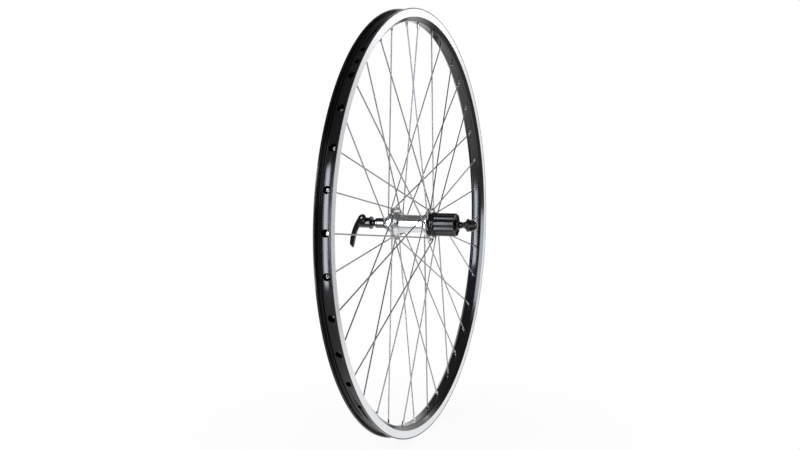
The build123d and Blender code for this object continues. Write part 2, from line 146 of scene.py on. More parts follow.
def metal_finish(name, low, high, roughness, metallic, lines, bump, coat=0.0, gloss_level=0.5):
    """Finish with lines around the axle and cloudy wear, from a low to a high colour and roughness."""
    finish = bpy.data.materials.new(name)
    finish.use_nodes = True
    tree = finish.node_tree
    shader = tree.nodes["Principled BSDF"]
    shader.inputs["Metallic"].default_value = metallic
    shader.inputs["Specular IOR Level"].default_value = gloss_level
    shader.inputs["Coat Weight"].default_value = coat
    shader.inputs["Coat Roughness"].default_value = COAT_ROUGHNESS
    place = node(tree, "TexCoord").outputs["Object"]
    split = node(tree, "SeparateXYZ", Vector=place)
    flat = node(tree, "CombineXYZ", X=split.outputs["X"], Z=split.outputs["Z"])
    radius = node(tree, "VectorMath", "LENGTH", i0=flat.outputs[0])
    ringed = node(tree, "CombineXYZ", X=radius.outputs["Value"], Y=split.outputs["Y"])
    line_noise = node(tree, "TexNoise", Vector=ringed.outputs[0], Scale=lines, Detail=2.0)
    clouds = node(tree, "TexNoise", Vector=place, Scale=CLOUD_SCALE, Detail=5.0, Roughness=0.6)
    tint = node(tree, "Mix", Factor=clouds.outputs[0])
    tint.data_type = "RGBA"
    tint.inputs["A"].default_value = (*low, 1)
    tint.inputs["B"].default_value = (*high, 1)
    tree.links.new(tint.outputs["Result"], shader.inputs["Base Color"])
    wear = node(tree, "Math", "MULTIPLY", i0=clouds.outputs[0], i1=line_noise.outputs[0])
    gloss = node(
        tree, "MapRange", Value=wear.outputs[0], From_Min=WEAR_LOW, From_Max=WEAR_HIGH, To_Min=roughness[0],
        To_Max=roughness[1],
    )
    tree.links.new(gloss.outputs["Result"], shader.inputs["Roughness"])
    dents = node(tree, "Bump", Strength=bump, Distance=LINE_DEPTH, Height=line_noise.outputs[0])
    tree.links.new(dents.outputs["Normal"], shader.inputs["Normal"])
    return finish


black_anodised = metal_finish(
    "black_anodised", low=(0.0015, 0.0015, 0.002), high=(0.004, 0.004, 0.005), roughness=(0.11, 0.18),
    metallic=0.0, lines=1500.0, bump=0.08, gloss_level=0.68,
)
machined_track = metal_finish(
    "machined_track", low=(0.76, 0.78, 0.81), high=(0.85, 0.86, 0.88), roughness=(0.2, 0.34),
    metallic=1.0, lines=4200.0, bump=0.25,
)
print("finishes:", len(bpy.data.materials))

# %% [markdown]
# ## Rim
# A double-wall rim is a drawn aluminium tube bent to a hoop. Its section has two hooked flanges for the
# tyre, a well between them, a closed chamber, and a narrow bed for the nipples. It could be a bent curve
# with a bevel object, but the lathe gives exact radii and a corner of its own for each lip. Half the
# section is drawn, and its mirror image follows. The chamber is a second spin, turned inside out.

# %% Rim section
RIM_HALF_WIDTH = 11.9
TRACK_HALF_WIDTH = 11.75
FLANGE_INSIDE = 9.8
HOOK_INSIDE = 9.0
LIP_RADIUS = 317.2
TRACK_HIGH = 315.4
SHELF_RADIUS = 311.0
WELL_RADIUS = 307.4
BRIDGE_RADIUS = 306.2
TRACK_LOW = 304.9
SEAT_RADIUS = 300.3
BED_RADIUS = 298.3
CHAMBER_HALF_TOP = 10.4
CHAMBER_HALF_BED = 6.6
RIM_STEPS = 360

rim_half = [
    (WELL_RADIUS, 1.0), (WELL_RADIUS + 0.07, 2.6), (WELL_RADIUS + 0.21, 4.4), (WELL_RADIUS + 0.43, 6.2, 1.4),
    (SHELF_RADIUS, 7.8, 0.8), (SHELF_RADIUS, FLANGE_INSIDE, 0.5),
    (314.4, FLANGE_INSIDE, 0.5), (315.3, HOOK_INSIDE, 0.4), (316.95, HOOK_INSIDE, 0.5),
    (LIP_RADIUS, RIM_HALF_WIDTH, 0.5), (TRACK_HIGH + 0.2, RIM_HALF_WIDTH, 0.1),
    (TRACK_HIGH, TRACK_HALF_WIDTH), (TRACK_LOW, TRACK_HALF_WIDTH), (304.6, 11.5, 0.3),
    (BED_RADIUS + 0.32, 6.5, 1.6), (BED_RADIUS + 0.1, 4.0), (BED_RADIUS, 1.5),
]
mirror_half = [(radius, -y, *rounding) for radius, y, *rounding in reversed(rim_half)]
rim = bmesh.new()
turn(rim, rim_half + mirror_half, RIM_STEPS)
chamber = bmesh.new()
turn(chamber, [
    (BRIDGE_RADIUS, CHAMBER_HALF_TOP), (BRIDGE_RADIUS, -CHAMBER_HALF_TOP),
    (SEAT_RADIUS, -CHAMBER_HALF_BED), (SEAT_RADIUS, CHAMBER_HALF_BED),
], RIM_STEPS)
bmesh.ops.reverse_faces(chamber, faces=chamber.faces)
join(rim, chamber)
print("rim section spun to", len(rim.faces), "faces")

# %% [markdown]
# ## Lacing
# Each spoke leaves the hub flange through a hole, bends at its elbow and runs to the rim three crossings
# on. Heads inside and outside the flange alternate, so there are four groups of nine: right and left,
# leading and trailing. The route below works out one spoke's points, and the rim's holes, the wires and the
# nipples all use it.

# %% Spoke routes
GROUPS = ("right_leading", "left_leading", "right_trailing", "left_trailing")
SPOKES_PER_GROUP = 9
VALVE_ANGLE = 133.6
RIM_HOLE_STEP = 10
SPOKE_SWEEP = 60
LEFT_FLANGE_Y = 33.8
RIGHT_FLANGE_Y = -21.8
FLANGE_HALF = 1.6
HOLE_CIRCLE = 22.5
OUTSIDE_STANDOFF = 2.0
INSIDE_STANDOFF = 1.3
RIM_HOLE_OFFSET = 0.8
NIPPLE_HEAD_WIDTH = 5.0
SEAT_GAP = 0.03
SHANK_END = 9.1


def on_circle(radius, angle, y=0.0):
    """Point in metres at a radius from the axle, at an angle from +X towards +Z."""
    return Vector((radius * MM * cos(radians(angle)), y * MM, radius * MM * sin(radians(angle))))


class Route:
    """The points that one spoke runs through, in metres."""

    def __init__(self, group, step):
        side = -1 if group % 2 == 0 else 1
        leading = group < 2
        rim_angle = VALVE_ANGLE + (group + 0.5 + step * len(GROUPS)) * RIM_HOLE_STEP
        hub_angle = rim_angle + (SPOKE_SWEEP if leading else -SPOKE_SWEEP)
        flange_y = LEFT_FLANGE_Y if side > 0 else RIGHT_FLANGE_Y
        shaft_side = side if leading else -side
        standoff = OUTSIDE_STANDOFF if leading else INSIDE_STANDOFF
        self.outward = on_circle(1 / MM, rim_angle)
        self.elbow = on_circle(HOLE_CIRCLE, hub_angle, flange_y + shaft_side * (FLANGE_HALF + standoff))
        self.head = on_circle(HOLE_CIRCLE, hub_angle, flange_y - shaft_side * FLANGE_HALF)
        self.through = (self.elbow - self.head).normalized()
        self.bed = on_circle(SEAT_RADIUS, rim_angle, side * RIM_HOLE_OFFSET)
        self.direction = (self.bed - self.elbow).normalized()
        lean = acos(self.direction.dot(self.outward))
        lift = NIPPLE_HEAD_WIDTH / sqrt(2) * tan(lean) + SEAT_GAP
        self.seat = self.bed + self.direction * lift * MM
        self.tip = self.seat - self.direction * SHANK_END * MM


routes = {
    label: [Route(group, step) for step in range(SPOKES_PER_GROUP)] for group, label in enumerate(GROUPS)
}
every_route = [route for row in routes.values() for route in row]
print(len(every_route), "spokes")

# %% [markdown]
# ## Drilling the rim
# Each spoke has a small hole in the bed and a wide access hole in the bridge above it, and the valve has a
# hole through both. The drills are plain cylinders made along Z and turned to their spokes. All of them are
# joined first, because one exact Boolean is faster and safer than many in a row.

# %% Rim holes
NIPPLE_HOLE_RADIUS = 2.2
NIPPLE_HOLE_LEAD = 4.0
NIPPLE_HOLE_DEPTH = 6.0
ACCESS_RADIUS = 5.2
ACCESS_LEAD = 3.0
ACCESS_DEPTH = 12.0
VALVE_RADIUS = 4.25
VALVE_START = 296.0
VALVE_DEPTH = 18.0
WIDE_SEGMENTS = 32


def pointing(start, direction):
    """Place a part that was made along Z so that it starts at a point and runs along a direction."""
    return Matrix.Translation(start) @ direction.to_track_quat("Z", "Y").to_matrix().to_4x4()


def drill_bit(drills, entry, direction, radius, length, lead=0.0, segments=24):
    """Add a cylinder that starts a lead before its entry point."""
    start = entry - direction * lead * MM
    bmesh.ops.create_cone(
        drills, cap_ends=True, segments=segments, radius1=radius * MM, radius2=radius * MM, depth=length * MM,
        matrix=pointing(start + direction * length * MM / 2, direction),
    )


def drill(solid, drills):
    """Cut drills out of a solid with an exact Boolean, and return what is left."""
    pair = []
    for label, part in (("solid", solid), ("drills", drills)):
        mesh = bpy.data.meshes.new(label)
        part.to_mesh(mesh)
        part.free()
        pair.append(bpy.data.objects.new(label, mesh))
        bpy.context.scene.collection.objects.link(pair[-1])
    cut = pair[0].modifiers.new("cut", "BOOLEAN")
    cut.operation = "DIFFERENCE"
    cut.solver = "EXACT"
    cut.object = pair[1]
    result = bpy.data.meshes.new_from_object(pair[0].evaluated_get(bpy.context.evaluated_depsgraph_get()))
    left = bmesh.new()
    left.from_mesh(result)
    for piece in pair:
        bpy.data.objects.remove(piece)
    bpy.data.meshes.remove(result)
    return left


rim_drills = bmesh.new()
for route in every_route:
    drill_bit(rim_drills, route.bed, route.outward, NIPPLE_HOLE_RADIUS, NIPPLE_HOLE_DEPTH, NIPPLE_HOLE_LEAD)
    bridge = route.bed + route.direction * (WELL_RADIUS - SEAT_RADIUS) * MM
    drill_bit(rim_drills, bridge, route.outward, ACCESS_RADIUS, ACCESS_DEPTH, ACCESS_LEAD, WIDE_SEGMENTS)
valve = on_circle(1 / MM, VALVE_ANGLE)
drill_bit(rim_drills, valve * VALVE_START * MM, valve, VALVE_RADIUS, VALVE_DEPTH, segments=WIDE_SEGMENTS)
rim = drill(rim, rim_drills)
print("drilled rim has", len(rim.faces), "faces")

# %% [markdown]
# ## Showing a piece
# A bmesh is only a shape. To be seen it becomes an object with finishes, shaded smooth up to a sharp angle,
# and it rides on the body that carries it. Weighted normals keep flat faces flat to the eye, so that only
# the roundings bend a reflection. The rim is the first piece to show. Its flat sides, which the brake shoes
# rub, are machined bright after the black finish, so their faces take a second finish, chosen by where they
# lie.

# %% Brake tracks
SIDEWAYS = 0.9
TRACK_MARGIN = 0.05


def show(name, shape, finishes, body, stands_for, sharp=38):
    """Make a bmesh a visible object on its body, in place of the solids that it stands for."""
    mesh = bpy.data.meshes.new(name)
    shape.to_mesh(mesh)
    shape.free()
    mesh.shade_smooth()
    mesh.set_sharp_from_angle(angle=radians(sharp))
    for finish in finishes:
        mesh.materials.append(finish)
    piece = bpy.data.objects.new(name, mesh)
    bpy.context.scene.collection.objects.link(piece)
    piece.modifiers.new("flat_faces", "WEIGHTED_NORMAL").keep_sharp = True
    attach(piece, body)
    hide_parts(*stands_for)
    print(name, "has", len(mesh.polygons), "faces")


def on_track(face):
    """Tell whether a face of the rim lies on a brake track."""
    middle = face.calc_center_median() / MM
    flat = abs(face.normal.y) > SIDEWAYS and abs(middle.y) > TRACK_HALF_WIDTH - TRACK_MARGIN
    return flat and TRACK_LOW < middle.xz.length < TRACK_HIGH


for face in rim.faces:
    face.material_index = 1 if on_track(face) else 0
show("double_wall_rim", rim, [black_anodised, machined_track], "wheel_body", ["rim"], 30)

# %% [markdown]
# ## Spokes
# A spoke is a drawn steel wire with a cold-formed head. A curve with a bevel would do, but operators show
# how wire is bent: a circle is extruded through the flange, spun round the elbow's centre, and extruded
# again to the nipple. The head is turned like the rim.

# %% Spoke wire
WIRE_RADIUS = 1.0
WIRE_SEGMENTS = 12
WIRE_IN_NIPPLE = 4.0
ELBOW_RADIUS = 2.3
ELBOW_STEPS = 6
SPOKE_HEAD = [(0, 1.2), (1.2, 1.2, 0.4), (1.9, 0.7, 0.3), (1.9, 0.35, 0.1), (1.0, -0.3), (0, -0.3)]
SPOKE_HEAD_STEPS = 16
spoke_steel = metal_finish(
    "spoke_steel", low=(0.33, 0.33, 0.34), high=(0.44, 0.44, 0.45), roughness=(0.36, 0.46), metallic=1.0,
    lines=900.0, bump=0.06,
)


def edges_of(verts):
    """All edges that end at the vertices, each once."""
    return list(dict.fromkeys(edge for vert in verts for edge in vert.link_edges))


def run_on(shape, ring, move):
    """Extrude a ring of edges and move the new ring on."""
    made = bmesh.ops.extrude_edge_only(shape, edges=ring)["geom"]
    verts = [item for item in made if isinstance(item, bmesh.types.BMVert)]
    bmesh.ops.translate(shape, verts=verts, vec=move)
    return [edge for edge in edges_of(verts) if all(vert in verts for vert in edge.verts)]


def close_up(shape):
    """Fill every open ring and turn all faces outwards."""
    bmesh.ops.holes_fill(shape, edges=[edge for edge in shape.edges if edge.is_boundary])
    bmesh.ops.recalc_face_normals(shape, faces=shape.faces)


def bend_spoke(wires, route):
    """Add one spoke: a leg through the flange, the elbow, the long run and the head."""
    wire = bmesh.new()
    through = route.through
    inward = (route.direction - through * route.direction.dot(through)).normalized()
    bend = acos(through.dot(route.direction))
    setback = ELBOW_RADIUS * tan(bend / 2) * MM
    leg = (route.elbow - route.head).length - setback
    start = bmesh.ops.create_circle(
        wire, cap_ends=False, segments=WIRE_SEGMENTS, radius=WIRE_RADIUS * MM,
        matrix=pointing(route.head, through),
    )["verts"]
    ring = run_on(wire, edges_of(start), through * leg)
    turned = bmesh.ops.spin(
        wire, geom=ring, cent=route.head + through * leg + inward * ELBOW_RADIUS * MM,
        axis=through.cross(inward), angle=bend, steps=ELBOW_STEPS, use_merge=False, use_duplicate=False,
    )["geom_last"]
    ring = [item for item in turned if isinstance(item, bmesh.types.BMEdge)]
    bend_end = route.elbow + route.direction * setback
    run_on(wire, ring, route.tip + route.direction * WIRE_IN_NIPPLE * MM - bend_end)
    close_up(wire)
    join(wires, wire)
    turn(wires, SPOKE_HEAD, SPOKE_HEAD_STEPS, pointing(route.head, -through), closed=False)


for label, row in routes.items():
    wires = bmesh.new()
    for route in row:
        bend_spoke(wires, route)
    show("spoke_wires_" + label, wires, [spoke_steel], "wheel_body", [label + "_spokes"])

# %% [markdown]
# ## Nipples
# A nipple is a small plated nut: a round head that sits in the rim's bed, a round neck in the hole, and a
# square shank for the spoke key. The head and neck are turned, and the shank is a cube scaled long with
# bevelled edges.

# %% Nipples
NIPPLE_HEAD = [
    (0, 1.3), (0.95, 1.3), (0.95, 2.5, 0.1), (2.4, 2.5, 0.3), (2.9, 1.9, 0.3), (2.9, 0.7, 0.2),
    (2.0, 0.0, 0.2), (2.0, -2.6, 0.2), (1.5, -2.9), (0, -2.9),
]
NIPPLE_STEPS = 20
SHANK_WIDTH = 3.2
SHANK_LENGTH = 6.6
SHANK_EDGE = 0.45
nipple_plate = metal_finish(
    "nipple_plate", low=(0.60, 0.60, 0.60), high=(0.74, 0.74, 0.73), roughness=(0.14, 0.24), metallic=1.0,
    lines=900.0, bump=0.05,
)

nipples = bmesh.new()
for route in every_route:
    place = pointing(route.seat, route.direction)
    turn(nipples, NIPPLE_HEAD, NIPPLE_STEPS, place, closed=False)
    shank = bmesh.new()
    bmesh.ops.create_cube(shank, size=MM)
    bmesh.ops.scale(shank, vec=(SHANK_WIDTH, SHANK_WIDTH, SHANK_LENGTH), verts=shank.verts)
    bmesh.ops.translate(shank, vec=(0, 0, (SHANK_LENGTH / 2 - SHANK_END) * MM), verts=shank.verts)
    round_off(shank, shank.edges[:], SHANK_EDGE, 2)
    join(nipples, shank, place)
show("spoke_nipples", nipples, [nipple_plate], "wheel_body", ["nipples"])

# %% [markdown]
# ## Hub shell
# The shell is forged and turned from aluminium, then polished. Its look depends on the smooth run from
# barrel to flange, so the outline's inner corners have large roundings. Its inside has seats for the left
# cup and for the freehub's carrier. The spoke holes go through both flanges with one Boolean.

# %% Hub shell
BARREL_RADIUS = 13.6
FLANGE_RADIUS = 25.5
FLANGE_ROOT_RADIUS = 18.0
FLANGE_ROOT_LENGTH = 6.2
BOSS_RADIUS = 15.8
BOSS_END = 43.0
CUP_SEAT_RADIUS = 13.78
CUP_SEAT_END = 35.69
SHELL_BORE = 9.0
CARRIER_SEAT_RADIUS = 14.23
CARRIER_SEAT_END = -18.4
SPOKE_HOLE_RADIUS = 1.35
SPOKE_HOLE_LEAD = 1.0
SPOKE_HOLE_DEPTH = 6.0
hub_polish = metal_finish(
    "hub_polish", low=(0.74, 0.75, 0.77), high=(0.86, 0.86, 0.87), roughness=(0.12, 0.22), metallic=1.0,
    lines=2200.0, bump=0.08,
)

left_inner = LEFT_FLANGE_Y - FLANGE_HALF
left_outer = LEFT_FLANGE_Y + FLANGE_HALF
right_inner = RIGHT_FLANGE_Y + FLANGE_HALF
right_outer = RIGHT_FLANGE_Y - FLANGE_HALF
shell = bmesh.new()
turn(shell, [
    (CUP_SEAT_RADIUS, BOSS_END), (BOSS_RADIUS, BOSS_END, 0.5), (BOSS_RADIUS, left_outer, 1.4),
    (FLANGE_RADIUS, left_outer, 0.9), (FLANGE_RADIUS, left_inner, 0.9),
    (FLANGE_ROOT_RADIUS, left_inner, 1.8), (BARREL_RADIUS, left_inner - FLANGE_ROOT_LENGTH, 2.6),
    (BARREL_RADIUS, right_inner + FLANGE_ROOT_LENGTH, 2.6), (FLANGE_ROOT_RADIUS, right_inner, 1.8),
    (FLANGE_RADIUS, right_inner, 0.9), (FLANGE_RADIUS, right_outer, 0.9),
    (CARRIER_SEAT_RADIUS, right_outer, 0.3), (CARRIER_SEAT_RADIUS, CARRIER_SEAT_END),
    (SHELL_BORE, CARRIER_SEAT_END), (SHELL_BORE, CUP_SEAT_END), (CUP_SEAT_RADIUS, CUP_SEAT_END),
], steps=128)
flange_drills = bmesh.new()
for route in every_route:
    drill_bit(
        flange_drills, route.head, route.through, SPOKE_HOLE_RADIUS, SPOKE_HOLE_DEPTH, SPOKE_HOLE_LEAD,
        segments=16,
    )
shell = drill(shell, flange_drills)
show("hub_shell_polished", shell, [hub_polish], "wheel_body", ["hub_shell"], 30)

# %% [markdown]
# ## Dust cap, cones and spacer
# A bright dust cap tapers from the shell to the left cone. Cones, spacer and locknuts sit on the axle,
# clamped face to face. Each is turned by itself with small roundings, so the joints between them show as
# fine dark lines. A ring of black rubber on the spacer seals the cap's mouth, and it is also painted shade:
# its darkness stands for the shadow in the cap's mouth. It is one more spin in the same mesh, and its faces
# take the second finish.

# %% Dust cap, cones and spacer
CAP_FOOT_Y = 43.02
CAP_MOUTH_Y = 50.1
CAP_MOUTH_RADIUS = 8.15
AXLE_SEAT_RADIUS = 5.03
CONE_RADIUS = 7.75
CONE_NOSE_RADIUS = 5.75
CONE_LENGTH = 6.41
CONE_NOSES = {1: 41.59, -1: -56.09}
SPACER_START = 48.0
LOCKNUT_START = 62.5
SHADE_SEAL_START = 50.25
SHADE_SEAL_END = 51.8
SMALL_STEPS = 64
bearing_steel = metal_finish(
    "bearing_steel", low=(0.11, 0.11, 0.115), high=(0.17, 0.17, 0.175), roughness=(0.08, 0.16), metallic=1.0,
    lines=2600.0, bump=0.10,
)
# Black rubber for the right dust cap and for the ring at the left cap's mouth, where its darkness is also
# painted shade.
rubber_and_painted_shade = metal_finish(
    "rubber_and_painted_shade", low=(0.004, 0.004, 0.004), high=(0.009, 0.009, 0.009), roughness=(0.45, 0.6), metallic=0.0,
    lines=1500.0, bump=0.2,
)

cap = bmesh.new()
turn(cap, [
    (13.0, CAP_FOOT_Y), (15.25, CAP_FOOT_Y, 0.4), (12.6, 46.6, 3.0), (9.7, CAP_MOUTH_Y, 0.7),
    (CAP_MOUTH_RADIUS, CAP_MOUTH_Y, 0.2), (CAP_MOUTH_RADIUS, CAP_MOUTH_Y - 1.0),
])
show("dust_cap_left", cap, [hub_polish], "wheel_body", ["left_dust_cap"])

cones = bmesh.new()
for side, nose_y in CONE_NOSES.items():
    shoulder_y = nose_y + side * (CONE_RADIUS - CONE_NOSE_RADIUS)
    end_y = nose_y + side * CONE_LENGTH
    turn(cones, [
        (AXLE_SEAT_RADIUS, nose_y), (CONE_NOSE_RADIUS, nose_y, 0.2), (CONE_RADIUS, shoulder_y, 0.2),
        (CONE_RADIUS, end_y, 0.35), (AXLE_SEAT_RADIUS, end_y),
    ], SMALL_STEPS)
show("cones_turned", cones, [bearing_steel], "axle_set", ["bearing_cones"])

spacer = bmesh.new()
turn(spacer, [
    (AXLE_SEAT_RADIUS, SPACER_START), (CONE_RADIUS, SPACER_START, 0.35),
    (CONE_RADIUS, LOCKNUT_START, 0.35), (AXLE_SEAT_RADIUS, LOCKNUT_START),
], SMALL_STEPS)
# Dark rubber ring at the cap's mouth: a seal, and painted shade for the shadow in the mouth.
seal_and_shade_ring = bmesh.new()
turn(seal_and_shade_ring, [(7.4, SHADE_SEAL_START), (9.1, SHADE_SEAL_START, 0.5), (8.5, SHADE_SEAL_END, 0.5), (7.4, SHADE_SEAL_END)], SMALL_STEPS)
for face in seal_and_shade_ring.faces:
    face.material_index = 1
join(spacer, seal_and_shade_ring)
show("spacer_turned", spacer, [bearing_steel, rubber_and_painted_shade], "axle_set", ["left_spacer"])

# %% [markdown]
# ## Locknuts
# A locknut at each end holds the cone or spacer in place. It is round, with a chamfered end and two flats
# for the spanner. The flats could be drawn into an extruded outline, but then the roundings would be lost,
# so the nut is turned and a plane cuts off each side.

# %% Locknuts
LOCKNUT_END = 67.5
LOCKNUT_RADIUS = 8.3
LOCKNUT_END_RADIUS = 6.7
LOCKNUT_HALF_FLATS = 7.5
dark_steel = metal_finish(
    "dark_steel", low=(0.04, 0.04, 0.04), high=(0.08, 0.08, 0.08), roughness=(0.20, 0.32), metallic=1.0,
    lines=1800.0, bump=0.10,
)


def locknut(name, side, finish, stands_for):
    """Round nut with a chamfered end and two flats, on one side of the hub."""
    inner_y = side * LOCKNUT_START
    outer_y = side * LOCKNUT_END
    slope_y = (inner_y + outer_y) / 2
    nut = bmesh.new()
    turn(nut, [
        (AXLE_SEAT_RADIUS, inner_y), (LOCKNUT_RADIUS, inner_y, 0.5), (LOCKNUT_RADIUS, slope_y, 0.4),
        (LOCKNUT_END_RADIUS, outer_y, 0.3), (AXLE_SEAT_RADIUS, outer_y),
    ], SMALL_STEPS)
    for up in (-1, 1):
        bmesh.ops.bisect_plane(
            nut, geom=nut.verts[:] + nut.edges[:] + nut.faces[:], plane_no=(0, 0, up), clear_outer=True,
            plane_co=(0, 0, up * LOCKNUT_HALF_FLATS * MM),
        )
        close_up(nut)
    show(name, nut, [finish], "axle_set", stands_for)


locknut("locknut_left", 1, bearing_steel, ["left_locknut"])
locknut("locknut_right", -1, dark_steel, ["right_locknut"])

# %% [markdown]
# ## Axle and its threads
# The hollow axle is threaded at both ends. A thread is a spin that climbs: the extra vector of each step
# lifts the outline by one pitch in a full turn. The ridge has its own foot inside the core, and both of its
# ends are filled, so it is closed.

# %% Axle
AXLE_END = 72.5
AXLE_BORE_RADIUS = 2.9
CORE_RADIUS = 4.45
THREAD_FOOT_RADIUS = 4.3
THREAD_CREST_RADIUS = 4.97
THREAD_PITCH = 1.0
THREAD_TURNS = 9
THREAD_STEPS = 24
THREAD_STARTS = (-72.3, 62.3)

axle = bmesh.new()
turn(axle, [
    (AXLE_BORE_RADIUS, -AXLE_END, 0.3), (CORE_RADIUS, -AXLE_END, 0.4),
    (CORE_RADIUS, AXLE_END, 0.4), (AXLE_BORE_RADIUS, AXLE_END, 0.3),
], 48)
for start_y in THREAD_STARTS:
    thread = outline([
        (THREAD_FOOT_RADIUS, 0.0), (THREAD_CREST_RADIUS, 0.44), (THREAD_CREST_RADIUS, 0.56),
        (THREAD_FOOT_RADIUS, THREAD_PITCH),
    ])
    bmesh.ops.spin(
        thread, geom=thread.verts[:] + thread.edges[:], cent=(0, 0, 0), axis=(0, 0, 1),
        angle=2 * pi * THREAD_TURNS, dvec=(0, 0, THREAD_PITCH * MM / THREAD_STEPS),
        steps=THREAD_TURNS * THREAD_STEPS, use_merge=False, use_duplicate=False,
    )
    close_up(thread)
    join(axle, thread, Matrix.Translation((0, start_y * MM, 0)) @ ALONG_AXLE)
show("axle_threaded", axle, [dark_steel], "axle_set", ["axle"])

# %% [markdown]
# ## Freehub body
# The sprockets slide on nine splines. One ring of edges makes the whole sleeve: it starts at the bore, is
# extruded and scaled out to the splined section, runs along the splines, goes back in to the bore, and
# returns to its start. A bevel of the long edges lets each spline catch a thin line of light. The collar
# that carries the ratchet is turned in one with an inner sleeve, and has a groove for its seal.

# %% Freehub
SPLINE_CREST = 17.3
SPLINE_ROOT = 16.0
SPLINE_BORE = 15.2
SPLINE_START = -31.6
SPLINE_LENGTH = 31.4
SPLINE_SEGMENTS = 90
SPLINE_STEP = 40
SPLINE_EDGE = 0.42
SPLINE_SHARP = 25
GROOVE_HALF = 10
GROOVE_CENTRE = 30
FLANK_WIDTH = 4
COLLAR_RADIUS = 18.5
SEAL_GROOVE_RADIUS = 18.0
FREEHUB_START = -24.0
COLLAR_START = -25.9
COLLAR_STEP_RADIUS = 15.6
SLEEVE_RADIUS = 15.1
SLEEVE_BORE = 14.25
SLEEVE_END = -59.0
TO_DRIVE_SIDE = Matrix.Rotation(radians(90), 4, "X")
black_steel = metal_finish(
    "black_steel", low=(0.003, 0.003, 0.003), high=(0.007, 0.007, 0.008), roughness=(0.13, 0.22),
    metallic=0.0, lines=1800.0, bump=0.10,
)


def from_middle(vert, middle, step):
    """Angle in degrees from a vertex to the nearest of the middles that repeat round the axis."""
    angle = (degrees(atan2(vert.co.y, vert.co.x)) - middle) % step
    return min(angle, step - angle)


def spline_radius(vert):
    """Radius of the splined section at the vertex's angle."""
    climb = (from_middle(vert, GROOVE_CENTRE, SPLINE_STEP) - GROOVE_HALF) / FLANK_WIDTH + 1
    return SPLINE_ROOT + (SPLINE_CREST - SPLINE_ROOT) * min(max(climb, 0), 1)


def verts_of(ring):
    """All vertices of a ring of edges, each once."""
    return list(dict.fromkeys(vert for edge in ring for vert in edge.verts))


def widen(shape, ring, radius_of):
    """Scale each vertex of a ring about the axis to its own radius."""
    for vert in verts_of(ring):
        change = radius_of(vert) * MM / vert.co.xy.length
        bmesh.ops.scale(shape, vec=(change, change, 1), verts=[vert])


splines = bmesh.new()
bmesh.ops.create_circle(splines, cap_ends=False, segments=SPLINE_SEGMENTS, radius=SPLINE_BORE * MM)
ring = run_on(splines, splines.edges[:], (0, 0, 0))
widen(splines, ring, spline_radius)
ring = run_on(splines, ring, (0, 0, SPLINE_LENGTH * MM))
ring = run_on(splines, ring, (0, 0, 0))
widen(splines, ring, lambda vert: SPLINE_BORE)
run_on(splines, ring, (0, 0, -SPLINE_LENGTH * MM))
bmesh.ops.remove_doubles(splines, verts=splines.verts, dist=WELD_DISTANCE)
bmesh.ops.recalc_face_normals(splines, faces=splines.faces)
sharp_edges = [edge for edge in splines.edges if edge.calc_face_angle() > radians(SPLINE_SHARP)]
outside = (SPLINE_BORE + SPLINE_ROOT) / 2 * MM
spline_edges = [edge for edge in sharp_edges if any(vert.co.xy.length > outside for vert in edge.verts)]
round_off(splines, spline_edges, SPLINE_EDGE, 2)

freehub = bmesh.new()
join(freehub, splines, Matrix.Translation((0, SPLINE_START * MM, 0)) @ TO_DRIVE_SIDE)
turn(freehub, [
    (SLEEVE_BORE, FREEHUB_START, 0.2), (COLLAR_STEP_RADIUS, FREEHUB_START, 0.2),
    (COLLAR_STEP_RADIUS, COLLAR_START, 0.2), (COLLAR_RADIUS, COLLAR_START, 0.5),
    (COLLAR_RADIUS, -28.2, 0.3), (SEAL_GROOVE_RADIUS, -28.6, 0.2),
    (SEAL_GROOVE_RADIUS, -29.2, 0.2), (COLLAR_RADIUS, -29.6, 0.3), (COLLAR_RADIUS, SPLINE_START, 0.8),
    (SLEEVE_RADIUS, SPLINE_START - 0.1), (SLEEVE_RADIUS, SLEEVE_END), (SLEEVE_BORE, SLEEVE_END),
])
show("freehub_splined", freehub, [black_steel], "freehub_driver", ["freehub_body"], 30)

# %% [markdown]
# ## Quick-release head
# The head turns as one on the skewer's axis, and hangs at an angle. What isn't round about that axis is
# modelled square to the world's axes first and then turned by one matrix. The housing for the cam and the
# washer that clamps the frame are turned.

# %% Cam housing and clamp washer
SKEWER_TURN = Matrix.Rotation(radians(38), 4, "Y")
CLAMP_FACE_Y = 73.9
HOUSING_START = 76.4
HOUSING_END = 93.6
HOUSING_RADIUS = 8.0
HOUSING_NECK_RADIUS = 5.3
ROD_HOLE_RADIUS = 2.9
WASHER_RADIUS = 9.75
WASHER_BORE = 5.4
skewer_paint = metal_finish(
    "skewer_paint", low=(0.002, 0.002, 0.002), high=(0.005, 0.005, 0.006), roughness=(0.14, 0.26),
    metallic=0.0, lines=1200.0, bump=0.05, coat=0.4,
)

housing = bmesh.new()
turn(housing, [
    (ROD_HOLE_RADIUS, CLAMP_FACE_Y), (HOUSING_NECK_RADIUS, CLAMP_FACE_Y),
    (HOUSING_NECK_RADIUS, HOUSING_START), (HOUSING_RADIUS, HOUSING_START, 0.5),
    (HOUSING_RADIUS, HOUSING_END, 1.6), (0, HOUSING_END),
], SMALL_STEPS, SKEWER_TURN @ ALONG_AXLE, closed=False)
close_up(housing)
show("cam_housing_painted", housing, [skewer_paint], "skewer_head", ["cam_housing"])

washer = bmesh.new()
turn(washer, [
    (WASHER_BORE, CLAMP_FACE_Y, 0.2), (WASHER_RADIUS, CLAMP_FACE_Y, 0.5),
    (WASHER_RADIUS, HOUSING_START, 0.7), (WASHER_BORE, HOUSING_START, 0.2),
], SMALL_STEPS)
show("clamp_washer_turned", washer, [skewer_paint], "skewer_head", ["clamp_washer"])

# %% [markdown]
# ## Lever
# The lever is a bowed arm with a round boss on the cam shaft. Sculpting could shape it, but its sides are
# flat, so the arm is an outline with large roundings, extruded by the lever's width and bevelled all round.
# The boss is turned across the skewer.

